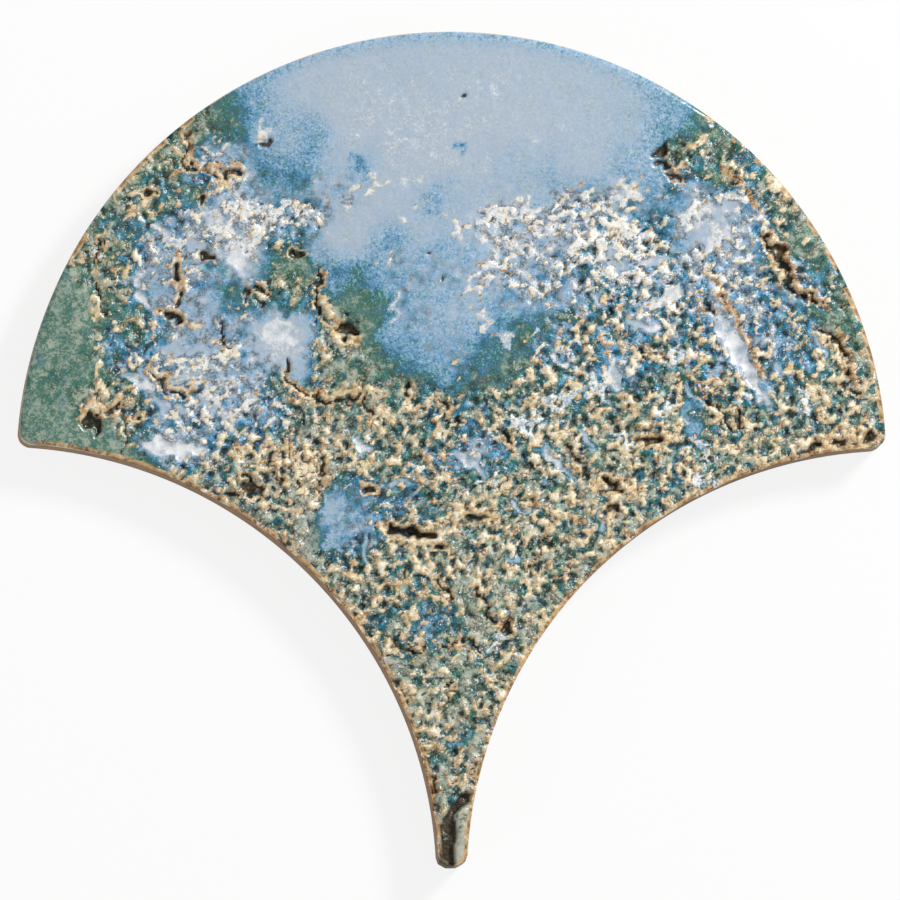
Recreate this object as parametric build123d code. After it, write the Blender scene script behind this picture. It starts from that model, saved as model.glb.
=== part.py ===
from build123d import *
import os

# A fish-scale ceramic tile, pressed and fired as one piece of stoneware, with a thick crumpled glaze.
# It lies on its back: the back face is at Z = 0 and the glazed face looks up. The origin is on the
# back face, under the centre of the round top. The round top points to +Y and the tail to -Y.

# Outline
scale_radius = 75.0      # round top, half of the nominal 150 mm width
hollow_radius = 75.0     # the two hollows, which take the round tops of the row below
tail_neck = 4.8          # gap between the circles of the two hollows, the narrowest the tail gets
shoulder_rise = 3.4      # height of the tops of the hollows above the centre of the round top
tail_cut = 2.4           # the tail ends this much above the centres of the hollows
corner_round = 2.3       # rounding of the two side corners
tail_round = 1.8         # rounding of the two corners of the tail
round_limit = 0.45       # a rounding takes at most this share of the tail's width

# Section
thickness = 10.0         # overall, over the smooth patches of the glaze
torn_depth = 0.6         # the torn field of the glaze lies this much below the smooth patches
face_arris = 0.9         # rounding of the glazed face's outer edge
back_arris = 0.4         # rounding of the back's outer edge
patch_slope = 0.4        # width and drop of the slope round the smooth patches

# Relief
gouge_depth = 0.9        # depth of the boat-shaped gouges in the glaze
gouge_keel = 0.5         # a gouge's floor as a share of its mouth, each way
pit_depth = 1.3          # depth of the burst bubbles
pit_narrowing = 0.55     # width of a bubble's floor as a share of its mouth
slit_depth = 2.2         # depth of the slit, which runs into a bubble at one end
slit_keel = 0.8          # the slit's floor as a share of its mouth, each way
chip_depth = 1.5         # depth of the flake lost from the tail
cutter_rise = 1.0        # how far the relief's cutters stand clear of the face

hollow_across = hollow_radius + tail_neck / 2
row_drop = hollow_radius - shoulder_rise
tail_reach = row_drop - tail_cut
field_level = thickness - torn_depth

# Every place on the face is a pair of shares of the round top's radius, so that the relief keeps
# its place when the tile is made larger or smaller.
top_patch = [
    (-0.60, 0.86), (-0.615, 0.75), (-0.585, 0.67), (-0.485, 0.655), (-0.37, 0.605), (-0.29, 0.54),
    (-0.31, 0.46), (-0.305, 0.385), (-0.235, 0.36), (-0.20, 0.275), (-0.12, 0.19), (0.0, 0.16),
    (0.125, 0.18), (0.225, 0.245), (0.27, 0.34), (0.235, 0.455), (0.245, 0.575), (0.34, 0.635),
    (0.455, 0.665), (0.50, 0.745), (0.575, 0.78), (0.70, 0.83), (0.44, 1.10), (0.0, 1.20), (-0.44, 1.10),
]
left_patch = [
    (-0.98, 0.42), (-0.85, 0.41), (-0.825, 0.31), (-0.815, 0.19), (-0.845, 0.10), (-0.83, 0.02),
    (-0.90, -0.06), (-1.08, -0.02), (-1.10, 0.25),
]
green_patch = [(-0.30, 0.24), (-0.26, 0.27), (-0.185, 0.25), (-0.17, 0.21), (-0.235, 0.19), (-0.29, 0.20)]

# Gouges: place of the middle, turn in degrees, then length and width as shares of the same radius
gouges = [
    (0.655, 0.26, -62, 0.27, 0.045),
    (0.50, 0.375, 20, 0.15, 0.030),
    (-0.643, 0.035, -15, 0.14, 0.035),
    (-0.71, 0.385, -55, 0.09, 0.030),
    (-0.723, 0.19, -30, 0.12, 0.032),
    (-0.214, 0.043, -60, 0.075, 0.040),
    (0.372, 0.21, 80, 0.10, 0.042),
    (0.04, 0.0, -30, 0.10, 0.038),
    (0.24, 0.003, -40, 0.14, 0.034),
    (0.163, -0.10, -22, 0.09, 0.020),
    (0.755, 0.465, -65, 0.14, 0.028),
    (0.458, 0.06, 10, 0.08, 0.026),
    (0.37, -0.072, 60, 0.09, 0.042),
    (0.554, 0.085, -75, 0.13, 0.044),
    (0.043, -0.121, 0, 0.10, 0.030),
    (0.89, 0.26, -50, 0.10, 0.022),
]

# Burst bubbles: place, then width as a share of the same radius
pits = [
    (-0.242, 0.312, 0.045),
    (0.476, 0.718, 0.034),
    (0.517, 0.664, 0.028),
    (-0.578, 0.609, 0.022),
    (-0.831, 0.096, 0.036),
    (-0.64, 0.438, 0.024),
    (-0.647, 0.338, 0.034),
    (0.023, 0.85, 0.022),
    (-0.431, 0.738, 0.022),
    (-0.70, 0.623, 0.024),
    (-0.042, -0.738, 0.020),
]

slit = (-0.095, -0.158, -13, 0.115, 0.026)
slit_bubble = (-0.053, -0.166, 0.026)

# The flake lost from the tip of the tail
chip = [
    (0.048, -0.755), (0.02, -0.753), (-0.023, -0.81), (-0.030, -0.84), (-0.028, -0.865),
    (-0.034, -0.95), (0.004, -0.95), (0.004, -0.88), (0.009, -0.843), (0.004, -0.804), (0.018, -0.79),
]


def on_face(across, up):
    """A place on the face, in millimetres, from its shares of the round top's radius."""
    return (across * scale_radius, up * scale_radius)


def tile_outline():
    """Three arcs of one radius: the round top and the two hollows, with a short blunt tail."""
    upper_half = Pos(0, scale_radius / 2) * Rectangle(2 * scale_radius, scale_radius)
    skirt = Pos(0, -tail_reach / 2) * Rectangle(2 * scale_radius, tail_reach)
    outline = (Circle(scale_radius) & upper_half) + skirt
    for side in (-1, 1):
        outline -= Pos(side * hollow_across, -row_drop) * Circle(hollow_radius)
    outline = outline.faces().sort_by(Axis.Y)[-1]
    corners = outline.vertices().sort_by(Axis.X)
    outline = fillet([corners[0], corners[-1]], corner_round)
    tail_corners = outline.vertices().sort_by(Axis.Y)[:2]
    return fillet(tail_corners, min(tail_round, round_limit * tail_neck))


def flat_edges(solid, top):
    """The edges of a solid's topmost or lowest flat face."""
    faces = solid.faces().filter_by(Plane.XY).sort_by(Axis.Z)
    return faces[-1 if top else 0].edges()


def field_slab(outline):
    """The body of the tile up to the level of the torn field, with both outer edges rounded."""
    slab = extrude(outline, field_level)
    slab = fillet(flat_edges(slab, True), face_arris)
    return fillet(flat_edges(slab, False), back_arris)


def smooth_patch(outline, places):
    """A patch of unbroken glaze that stands above the torn field."""
    rim = make_face(Spline([on_face(*place) for place in places], periodic=True))
    foot = thickness / 2
    patch = Pos(0, 0, foot) * extrude(rim & outline, thickness - foot)
    return chamfer(flat_edges(patch, True), patch_slope)


def boat(length_share, width_share):
    """The pointed outline of a gouge: two equal arcs that meet at its ends."""
    length = length_share * scale_radius
    width = width_share * scale_radius
    tips = [(-length / 2, 0), (length / 2, 0)]
    sides = [ThreePointArc(tips[0], (0, side * width / 2), tips[1]) for side in (-1, 1)]
    return make_face(sides)


def gouge(across, up, turn, length_share, width_share, depth, keel):
    """The cutter for a gouge in the torn field: its floor is the given share of its mouth."""
    mouth = boat(length_share, width_share)
    floor = Pos(0, 0, -depth) * boat(keel * length_share, keel * width_share)
    cutter = loft([mouth, floor], ruled=True) + extrude(mouth, cutter_rise + torn_depth)
    return Pos(*on_face(across, up), field_level) * Rot(0, 0, turn) * cutter


def pit(across, up, width_share, depth):
    """The cutter for a burst bubble: round, and narrower at its floor."""
    mouth = width_share * scale_radius / 2
    full_depth = depth + torn_depth
    bubble = Pos(0, 0, thickness - full_depth / 2) * Cone(pit_narrowing * mouth, mouth, full_depth)
    neck = Pos(0, 0, thickness + cutter_rise / 2) * Cylinder(mouth, cutter_rise)
    return Pos(*on_face(across, up), 0) * (bubble + neck)


def flake():
    """The bed of the flake lost from the tail."""
    rim = make_face(Polyline([on_face(*place) for place in chip], close=True))
    return Pos(0, 0, field_level - chip_depth) * extrude(rim, chip_depth + cutter_rise)


outline = tile_outline()
tile = field_slab(outline)
for places in (top_patch, left_patch, green_patch):
    tile += smooth_patch(outline, places)
for place in gouges:
    tile -= gouge(*place, gouge_depth, gouge_keel)
for place in pits:
    tile -= pit(*place, pit_depth)
tile -= gouge(*slit, slit_depth, slit_keel)
tile -= pit(*slit_bubble, slit_depth)
tile -= flake()

tile.label = "tile"
os.makedirs("parts", exist_ok=True)
export_step(tile, "parts/tile.step")
print("tile volume, cubic centimetres:", round(tile.volume / 1000, 1))
print("solids:", len(tile.solids()), "faces:", len(tile.faces()))
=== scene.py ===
"""A fish-scale ceramic tile with a thick glaze that has crumpled, pooled and torn in the kiln."""
import math

import bmesh
import bpy
import numpy as np
from mathutils import Matrix, Vector


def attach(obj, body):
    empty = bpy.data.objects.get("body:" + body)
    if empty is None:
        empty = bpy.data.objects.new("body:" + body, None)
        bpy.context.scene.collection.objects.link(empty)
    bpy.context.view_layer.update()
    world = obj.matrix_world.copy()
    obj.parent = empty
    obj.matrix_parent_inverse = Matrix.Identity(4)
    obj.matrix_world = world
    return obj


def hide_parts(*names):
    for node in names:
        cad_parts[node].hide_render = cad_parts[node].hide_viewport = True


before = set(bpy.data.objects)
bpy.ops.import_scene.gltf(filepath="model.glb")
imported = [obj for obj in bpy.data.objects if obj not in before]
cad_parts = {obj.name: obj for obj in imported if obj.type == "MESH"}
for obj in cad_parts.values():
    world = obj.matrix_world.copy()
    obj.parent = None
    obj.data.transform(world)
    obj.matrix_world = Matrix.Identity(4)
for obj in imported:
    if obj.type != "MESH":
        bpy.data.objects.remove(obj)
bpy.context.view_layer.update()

# Lengths are in millimetres until the mesh is finished, then in metres.
MM = 0.001

# Outline of the tile, as in the solid
SCALE_RADIUS = 75.0
TAIL_NECK = 4.8
SHOULDER_RISE = 3.4
TAIL_CUT = 2.4
CORNER_ROUND = 2.3
TAIL_ROUND = 1.8
HOLLOW_ACROSS = SCALE_RADIUS + TAIL_NECK / 2
ROW_DROP = SCALE_RADIUS - SHOULDER_RISE
TAIL_REACH = ROW_DROP - TAIL_CUT

# Section of the tile
THICKNESS = 10.0
FIELD_DROP = 0.6
FACE_ARRIS = 0.9
BACK_ARRIS = 0.4
ARRIS_ANGLES = (35, 65, 90)
WALL_LEVELS = (6.2, 3.2, BACK_ARRIS)

# Relief: how high or deep its forms are
PATCH_HEIGHT = 0.75 * FIELD_DROP
HIGHEST = 0.95 * FIELD_DROP
CRUMB_HEIGHT = 0.31
CREASE_DEPTH = 0.4
POOL_SINK = 0.6
LIP_HEIGHT = 0.1
ISLAND_HEIGHT = 0.12
FLAKE_DEPTH = 1.5

# Drips of glaze on the walls: how far apart they are, how much they vary, and how far at most they
# stop above the arris's lower line or run below it
DRIP_WAVE = 6.0
DRIP_SWAY = 0.8
DRIP_LIMITS = (-0.3, 1.3)

# The photograph's scale and the pixel of the round top's centre place the features of the glaze.
MM_PER_PIXEL = SCALE_RADIUS / 434.5
CENTRE_PIXEL = (451.2, 465.5)

# Camera: the pixel it looks at, the pixels its frame spans, its angles in degrees and its distance in
# metres
VIEW_PIXEL = (448, 451.2)
FRAME_PIXELS = 898.5
CAMERA_TILT = 84.5
CAMERA_AZIMUTH = -35
CAMERA_DISTANCE = 3.0
SENSOR_WIDTH = 36

# Studio: the strength of the surround, and in metres how far the lamps and the floor's edge are
SURROUND = 0.27
LAMP_DISTANCE = 1.2
FLOOR_REACH = 4
FLOOR_WHITE = 0.9
FLOOR_GLOW = 0.85

# Grid on which the relief is worked out, and the step and margin of the mesh that takes it
STEP = 0.18
LOW = (-77.0, -72.0)
COLUMNS = 856
ROWS = 829
MESH_STEP = 0.362
MESH_MARGIN = 1.0

X, Y = np.meshgrid(LOW[0] + STEP * np.arange(COLUMNS), LOW[1] + STEP * np.arange(ROWS))
WAVES = np.hypot(np.fft.fftfreq(ROWS, STEP)[:, None], np.fft.rfftfreq(COLUMNS, STEP)[None, :])

# Zones of the glaze: x and y in the photograph, reach in pixels, then how thick the glaze lies,
# how much it has crumpled and how green it is, each from 0 to 1
ZONES = [
    (330, 75, 40, .86, .0, .0), (400, 60, 50, .84, .0, .1), (480, 60, 50, .84, .0, .1),
    (570, 80, 50, .84, .0, .1), (640, 90, 36, .80, .0, .2), (400, 120, 60, .88, .0, .0),
    (500, 120, 60, .88, .0, .0), (580, 140, 30, .84, .0, .0), (262, 96, 20, .68, .0, .2),
    (290, 120, 20, .74, .0, .1), (306, 160, 22, .62, .0, .1), (285, 190, 18, .54, .1, .3),
    (350, 150, 20, .80, .0, .0), (357, 166, 9, .56, .0, .1), (340, 190, 18, .80, .1, .0),
    (245, 125, 14, .62, .3, .2), (655, 120, 18, .64, .0, .2), (672, 100, 20, .61, .0, .3),
    (690, 112, 12, .46, .1, .8), (232, 108, 14, .54, .2, .4), (400, 200, 30, .84, .0, .0),
    (350, 230, 24, .86, .0, .0), (432, 200, 10, .66, .0, .2), (460, 200, 18, .80, .0, .0),
    (380, 256, 18, .66, .0, .1), (340, 262, 12, .60, .1, .2), (440, 252, 20, .72, .15, .0),
    (410, 240, 14, .76, .05, .0), (500, 170, 26, .76, .0, .1), (560, 176, 20, .72, .1, .1),
    (600, 180, 10, .50, .1, .4), (636, 172, 14, .72, .1, .1), (420, 300, 26, .73, .3, .0),
    (465, 290, 16, .80, .35, .0), (400, 330, 20, .70, .2, .0), (440, 330, 20, .74, .25, .0),
    (480, 320, 22, .70, .25, .0), (510, 300, 18, .72, .3, .0), (440, 362, 18, .67, .25, .2),
    (400, 360, 14, .56, .2, .3), (480, 345, 14, .60, .25, .2), (505, 362, 18, .45, .35, .6),
    (520, 345, 12, .46, .3, .7), (470, 382, 14, .49, .4, .5), (368, 334, 9, .43, .32, 1.),
    (366, 300, 9, .43, .30, 1.), (348, 374, 15, .42, .34, 1.), (380, 382, 14, .42, .5, .9),
    (335, 268, 12, .50, .2, .5), (347, 278, 9, .43, .32, 1.), (331, 292, 9, .66, .1, .1),
    (326, 330, 12, .22, .8, .4), (392, 300, 14, .68, .15, .0), (560, 320, 18, .60, .6, .3),
    (150, 190, 26, .36, .75, .9), (205, 125, 16, .36, .5, 1.), (215, 153, 16, .76, .3, .1),
    (200, 190, 16, .60, .8, .2), (110, 250, 22, .34, .6, .9), (172, 206, 14, .47, .4, .6),
    (140, 240, 24, .74, .6, .1), (225, 225, 20, .86, .4, .3), (240, 258, 16, .88, .2, .1),
    (176, 240, 20, .74, .55, .1), (270, 266, 14, .41, .25, 1.), (292, 266, 12, .38, .3, 1.),
    (192, 290, 18, .76, .3, .0), (205, 315, 16, .74, .2, .0), (230, 300, 14, .44, .7, .7),
    (262, 300, 16, .36, .9, .8), (215, 275, 10, .54, .3, .5), (300, 215, 14, .78, .8, .2),
    (262, 212, 18, .84, .7, .2), (295, 238, 12, .66, .8, .3), (330, 208, 12, .76, .6, .1),
    (290, 292, 14, .36, .8, .9), (276, 332, 25, .90, .05, .0), (245, 335, 12, .64, .3, .0),
    (300, 320, 12, .70, .2, .0), (258, 370, 15, .76, .4, .0), (316, 350, 13, .26, 1., .5),
    (334, 358, 15, .22, 1., .5), (180, 352, 22, .78, .45, .1), (125, 345, 16, .56, .7, .3),
    (110, 310, 16, .40, .8, .8), (120, 410, 16, .30, .9, .8), (215, 370, 20, .80, .5, .0),
    (186, 405, 18, .68, .45, .1), (214, 402, 14, .82, .5, .0), (190, 435, 18, .74, .6, .1),
    (140, 370, 16, .66, .7, .1), (205, 478, 18, .46, .9, .2), (245, 485, 24, .24, .95, .5),
    (297, 462, 22, .16, 1., .5), (275, 410, 16, .66, .75, .1), (286, 432, 9, .60, .8, .3),
    (250, 424, 18, .66, .8, .1), (312, 396, 14, .26, 1., .7), (352, 418, 13, .44, .8, .8),
    (331, 512, 11, .72, .3, .0), (335, 545, 9, .62, .5, .1), (400, 425, 30, .34, .95, .8),
    (425, 425, 12, .60, .8, .1), (468, 460, 20, .72, .7, .1), (480, 525, 40, .28, 1., .7),
    (400, 506, 18, .60, .65, .2), (545, 425, 34, .40, 1., .6), (560, 480, 26, .36, 1., .6),
    (590, 456, 9, .42, .4, 1.), (560, 550, 30, .36, 1., .8), (500, 570, 24, .28, .95, .8),
    (450, 590, 18, .28, 1., .8), (612, 375, 14, .80, .5, .0), (595, 330, 22, .52, 1., .3),
    (525, 225, 24, .84, .55, .1), (580, 205, 20, .76, .6, .1), (520, 265, 18, .80, .4, .0),
    (540, 290, 20, .72, .45, .0), (610, 190, 12, .84, .4, .2), (600, 240, 22, .80, .8, .1),
    (655, 206, 14, .58, .4, .2), (640, 262, 24, .72, .9, .3), (660, 235, 14, .50, .7, .3),
    (650, 320, 24, .66, .95, .3), (665, 375, 26, .42, 1., .5), (640, 435, 28, .30, 1., .8),
    (618, 497, 20, .18, 1., .5), (712, 222, 24, .84, .3, .0), (700, 190, 14, .74, .4, .0),
    (735, 250, 20, .78, .5, .0), (735, 300, 24, .72, .7, .0), (772, 262, 14, .34, .9, .8),
    (799, 236, 13, .47, .12, .8), (803, 278, 9, .72, .3, .1), (832, 322, 11, .44, .15, 1.),
    (722, 150, 16, .40, .7, .9), (750, 178, 16, .50, .7, .4), (712, 128, 12, .44, .5, 1.),
    (785, 205, 18, .28, .9, .8), (695, 150, 14, .40, .7, .9), (700, 120, 10, .40, .6, 1.),
    (820, 265, 18, .40, .5, 1.), (845, 330, 18, .42, .5, 1.), (805, 320, 22, .56, .9, .3),
    (768, 355, 18, .68, .8, .0), (820, 395, 24, .40, 1., .6), (860, 410, 16, .34, .8, .8),
    (780, 430, 30, .38, 1., .6), (693, 425, 14, .64, .5, .1), (705, 370, 20, .56, .9, .2),
    (720, 465, 22, .30, 1., .7), (660, 480, 22, .44, 1., .4), (430, 615, 24, .58, .9, .3),
    (500, 615, 24, .28, .9, .7), (370, 600, 22, .30, 1., .7), (440, 672, 22, .29, .85, .9),
    (485, 665, 18, .34, .85, .8), (445, 715, 18, .27, .9, .8), (455, 743, 8, .60, .5, .0),
    (452, 772, 14, .27, .85, .8), (440, 812, 10, .27, .8, .8), (60, 300, 26, .405, .1, 1.),
    (50, 380, 30, .415, .08, 1.), (60, 430, 30, .415, .1, 1.), (88, 340, 14, .40, .15, 1.),
    (40, 440, 20, .40, .1, 1.),
]

# Rims of the smooth patches, in pixels
TOP_PATCH = [
    (190, 60), (215, 135), (250, 150), (278, 185), (300, 200), (330, 190), (352, 200), (330, 225),
    (312, 240), (318, 262), (322, 300), (340, 310), (362, 330), (372, 372), (402, 384), (450, 396),
    (505, 386), (540, 345), (520, 300), (505, 268), (480, 262), (470, 215), (490, 196), (540, 180),
    (575, 190), (610, 186), (640, 178), (652, 140), (690, 122), (730, 90), (640, 10), (451, -20),
    (262, 10),
]
LEFT_PATCH = [
    (20, 280), (82, 286), (90, 330), (96, 384), (84, 420), (88, 462), (40, 480), (-10, 440), (-10, 350),
]
GREEN_PATCH = [
    (322, 360), (340, 350), (372, 358), (376, 374), (350, 382), (326, 378),
]

# Pools of glaze: x and y, turn in degrees, length and width in pixels, glaze, depth in millimetres
POOLS = [
    (740, 358, -62, 120, 19, .96, .75), (660, 300, 24, 62, 11, .93, .5), (642, 262, 6, 60, 9, .88, .4),
    (172, 450, -8, 74, 19, .97, .5), (142, 300, -55, 40, 11, .93, .4), (137, 384, -30, 44, 12, .92, .5),
    (358, 447, -60, 28, 14, .92, .5), (613, 380, 80, 38, 15, .92, .5), (468, 465, -30, 38, 14, .92, .4),
    (556, 464, -40, 56, 11, .90, .45), (522, 509, -22, 42, 8, .87, .4), (222, 415, -57, 52, 8, .90, .3),
    (276, 336, 35, 54, 34, .91, .25), (212, 222, -30, 26, 18, .90, .25),
    (236, 262, -60, 34, 18, .90, .3), (331, 506, 80, 32, 24, .74, .35), (332, 540, 60, 26, 20, .70, .3),
    (712, 232, 60, 34, 24, .90, .25), (722, 208, 20, 30, 12, .88, .2), (624, 195, 30, 34, 16, .90, .25),
    (692, 428, -75, 56, 16, .66, .5), (170, 352, 0, 40, 10, .90, .2), (162, 235, -40, 36, 11, .86, .2),
    (196, 250, -35, 30, 10, .84, .25), (365, 550, 85, 32, 7, .86, .35), (395, 485, 5, 36, 8, .85, .3),
    (560, 360, -40, 30, 8, .90, .3), (720, 330, -70, 50, 9, .90, .3), (640, 325, -10, 34, 10, .88, .3),
    (196, 352, 10, 34, 9, .88, .2), (205, 404, -50, 30, 9, .88, .25), (600, 520, -80, 26, 8, .84, .3),
    (820, 345, -60, 26, 8, .85, .3), (596, 300, -50, 30, 7, .90, .35), (612, 262, -80, 34, 7, .90, .3),
    (506, 338, -70, 24, 6, .86, .2), (690, 392, -60, 24, 8, .84, .3), (780, 372, -50, 22, 8, .84, .3),
    (160, 405, -40, 34, 9, .88, .3), (180, 380, 15, 40, 7, .86, .25), (436, 640, -30, 24, 8, .80, .3),
    (455, 745, 10, 18, 6, .66, .3), (459, 147, 0, 13, 11, .60, .03), (357, 165, -60, 24, 16, .63, .02),
    (432, 198, 80, 30, 14, .70, .02), (585, 440, -50, 24, 8, .84, .3), (510, 560, -30, 20, 7, .80, .3),
]

# Cream islands with brown rims: x and y, turn in degrees, length and width in pixels
ISLANDS = [
    (362, 189, 15, 28, 11), (380, 184, 0, 13, 8), (455, 226, -60, 17, 10), (400, 217, 60, 12, 8),
    (384, 262, 40, 14, 8), (496, 214, 15, 44, 14), (530, 211, -20, 28, 12), (545, 233, 5, 34, 12),
    (470, 283, 70, 32, 12), (494, 267, 22, 36, 11), (394, 306, 80, 26, 8), (482, 322, -75, 26, 8),
    (504, 342, -50, 22, 8), (520, 250, -30, 24, 9), (562, 214, 35, 28, 12), (590, 199, -40, 26, 12),
    (623, 197, 32, 38, 17), (576, 250, 70, 28, 9), (597, 260, -82, 42, 8), (650, 273, 22, 44, 10),
    (658, 302, 24, 54, 9), (612, 288, -62, 34, 8), (603, 380, 60, 40, 15), (562, 359, -40, 28, 9),
    (630, 236, 12, 40, 8), (640, 252, 5, 36, 7), (690, 216, 50, 34, 10), (716, 232, -70, 34, 12),
    (735, 196, 30, 26, 9), (704, 250, 20, 26, 9), (538, 296, -40, 22, 8), (556, 276, 30, 22, 8),
    (246, 208, -10, 40, 14), (222, 228, 60, 34, 14), (276, 214, 30, 28, 11), (300, 214, -50, 20, 9),
    (252, 240, 70, 26, 11), (198, 214, 0, 20, 9), (156, 232, -50, 34, 9), (176, 244, 20, 30, 9),
    (262, 130, 70, 16, 9), (212, 152, 10, 26, 11), (205, 362, 20, 38, 9), (180, 372, -40, 30, 8),
    (210, 402, -55, 34, 9), (226, 420, -60, 40, 9), (284, 412, -50, 32, 10), (245, 404, 40, 22, 8),
    (676, 355, 10, 34, 12), (560, 400, 30, 34, 10), (520, 424, -10, 30, 10), (700, 452, -50, 30, 9),
    (740, 400, 40, 22, 8), (800, 402, -60, 26, 9), (664, 404, -10, 24, 8), (420, 470, 30, 20, 8),
    (620, 440, -30, 24, 8), (490, 480, 20, 24, 8), (700, 480, -40, 24, 8), (500, 640, 60, 22, 8),
]

# Burst bubbles and hollows: x and y, turn in degrees, length and width in pixels, depth in millimetres
PITS = [
    (346, 329, 0, 24, 22, 1.5), (658, 151, 20, 18, 12, 1.2), (660, 163, 0, 14, 9, 1.0),
    (672, 176, -40, 20, 8, 1.0), (200, 201, 0, 11, 9, 1.0), (90, 425, -50, 24, 15, 1.3),
    (173, 272, -80, 20, 8, 1.2), (170, 318, -25, 22, 10, 1.2), (461, 95, 0, 10, 9, .35),
    (440, 282, -70, 10, 5, .9), (264, 144, 0, 12, 9, .7), (147, 195, 20, 13, 9, 1.1),
    (207, 257, 0, 14, 9, 1.0), (433, 786, -80, 15, 7, 1.1), (453, 783, 0, 6, 5, .6),
    (466, 779, 0, 5, 4, .5), (471, 774, 60, 8, 4, .7), (476, 765, 20, 8, 4, .7),
    (429, 252, 0, 6, 5, .5), (410, 534, -12, 50, 9, 1.6), (427, 536, 0, 18, 10, 1.2),
    (470, 520, 0, 40, 10, .5), (650, 440, 8, 36, 10, 1.2), (608, 486, -10, 24, 13, 1.1),
    (611, 510, 30, 20, 12, .9), (778, 256, -62, 40, 11, 1.1), (838, 344, -30, 26, 9, 1.0),
    (176, 305, 60, 18, 6, .8), (244, 296, 80, 14, 6, .7), (257, 292, 20, 16, 7, .7),
    (295, 255, 20, 16, 9, .8), (843, 304, 80, 9, 5, .8), (843, 292, 60, 8, 5, .7),
    (228, 175, 50, 24, 12, .8), (250, 488, -45, 26, 12, 1.0), (228, 496, 0, 14, 8, .9),
    (815, 447, 25, 20, 9, 1.0), (838, 442, -12, 18, 9, 1.0), (855, 440, 30, 14, 8, .9),
    (871, 436, -15, 18, 9, 1.0), (505, 628, -20, 18, 10, .9), (440, 550, -20, 16, 8, .9),
    (370, 490, -10, 16, 10, 1.0), (626, 408, 60, 9, 6, .8),
]

# Cracks and ledges: width in pixels, depth in millimetres, then the places they pass
CRACKS = [
    (3.5, .9, [(94, 420), (104, 417), (112, 413), (120, 407)]),
    (3.0, .7, [(122, 458), (124, 432), (130, 422), (138, 418)]),
    (3.5, .8, [(150, 376), (160, 384), (165, 396), (180, 398), (190, 392)]),
    (3.0, .8, [(186, 134), (187, 146), (182, 158), (187, 169), (202, 172), (216, 177), (228, 182)]),
    (4.0, 1.0, [(318, 270), (316, 292), (320, 318)]),
    (3.0, .8, [(99, 240), (99, 252), (95, 262)]),
    (3.0, .8, [(97, 288), (98, 303), (101, 314)]),
    (3.0, .8, [(218, 326), (221, 338), (224, 348)]),
    (3.5, .9, [(284, 362), (287, 384), (300, 394), (322, 404), (346, 402), (360, 394)]),
    (3.0, .8, [(359, 382), (362, 398), (370, 414)]),
    (3.0, .8, [(404, 382), (407, 398)]),
    (4.0, .9, [(318, 460), (321, 476), (318, 490)]),
    (3.0, .7, [(440, 404), (446, 418), (460, 424)]),
    (3.0, .7, [(498, 430), (512, 446)]),
    (4.0, .7, [(568, 452), (580, 466), (586, 480)]),
    (4.0, 1.0, [(764, 236), (776, 252), (788, 266), (787, 286), (800, 293), (822, 301)]),
    (4.0, .9, [(820, 330), (834, 340), (844, 350), (846, 374)]),
    (3.0, .8, [(842, 384), (852, 390), (860, 390)]),
    (3.0, .8, [(700, 398), (718, 410), (732, 432)]),
    (3.0, .8, [(733, 408), (740, 428)]),
    (3.0, .8, [(640, 350), (652, 356), (664, 356)]),
    (3.0, .8, [(476, 590), (484, 606), (490, 620)]),
    (3.0, .8, [(436, 580), (448, 600)]),
    (2.5, .7, [(447, 684), (448, 696), (443, 706)]),
    (2.5, .7, [(402, 572), (408, 588)]),
    (2.5, .7, [(552, 580), (562, 574), (568, 564)]),
    (3.0, .8, [(440, 648), (470, 642), (476, 656)]),
    (3.0, .8, [(792, 454), (812, 449), (836, 443), (858, 440), (876, 436)]),
    (3.0, .8, [(700, 302), (712, 312)]),
    (2.5, .7, [(545, 536), (538, 552), (530, 566)]),
    (2.5, .7, [(386, 640), (402, 652), (420, 652)]),
    (2.5, .7, [(400, 690), (408, 700)]),
]

# Cracks wider than this, in pixels, show their floor
OPEN_CRACK = 4.2

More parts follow.
